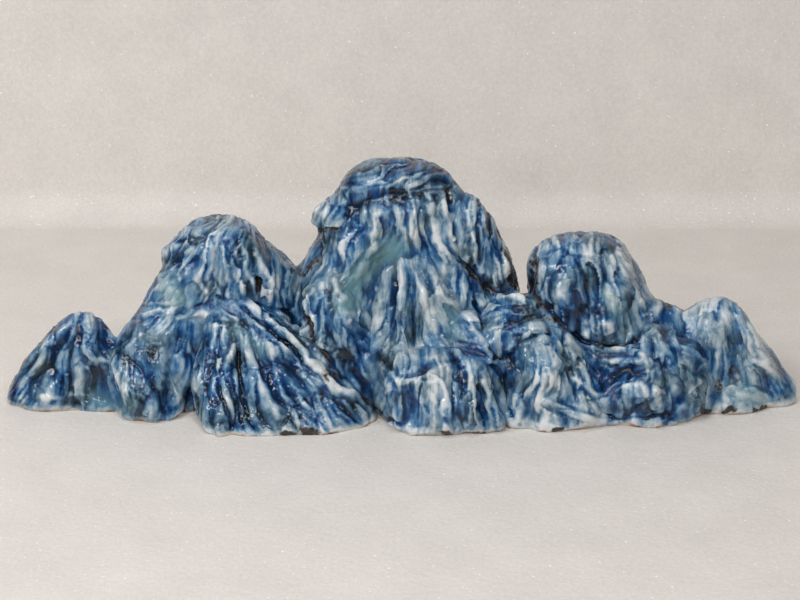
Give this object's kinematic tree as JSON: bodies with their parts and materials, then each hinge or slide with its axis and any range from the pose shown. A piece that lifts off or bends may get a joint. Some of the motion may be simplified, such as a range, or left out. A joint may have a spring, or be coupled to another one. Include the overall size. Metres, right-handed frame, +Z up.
{
  "type": "brush rest",
  "caption": "Glazed ceramic rest shaped as a row of mountain peaks; wet brushes lie across the saddles between them.",
  "frame": {"origin": "middle of the bounding box on the underside, where the rest stands on the table", "axes": "+X along the row of peaks to the right as seen from the front, +Y from the front to the back, +Z up"},
  "size_m": [0.161, 0.0449, 0.0488],
  "materials": {
    "glaze_pale": "high gloss, streaky cobalt blue over white",
    "glaze_mid": "high gloss, streaky cobalt blue over white",
    "glaze_deep": "high gloss, streaky cobalt blue over white"
  },
  "bodies": {
    "root": {"far_left_hill": "glaze_deep", "far_left_spur": "glaze_mid", "left_crag": "glaze_pale", "left_shoulder": "glaze_mid", "left_apron": "glaze_deep", "centre_crag": "glaze_mid", "centre_side_crag": "glaze_deep", "centre_buttress": "glaze_deep", "centre_column": "glaze_pale", "centre_skirt": "glaze_mid", "lower_slab": "glaze_mid", "right_slab": "glaze_mid", "front_ridge": "glaze_pale", "right_boulder": "glaze_deep", "right_shoulder": "glaze_mid", "right_knuckle": "glaze_mid", "right_plate": "glaze_pale", "far_right_hill": "glaze_pale"}
  },
  "joints": []
}
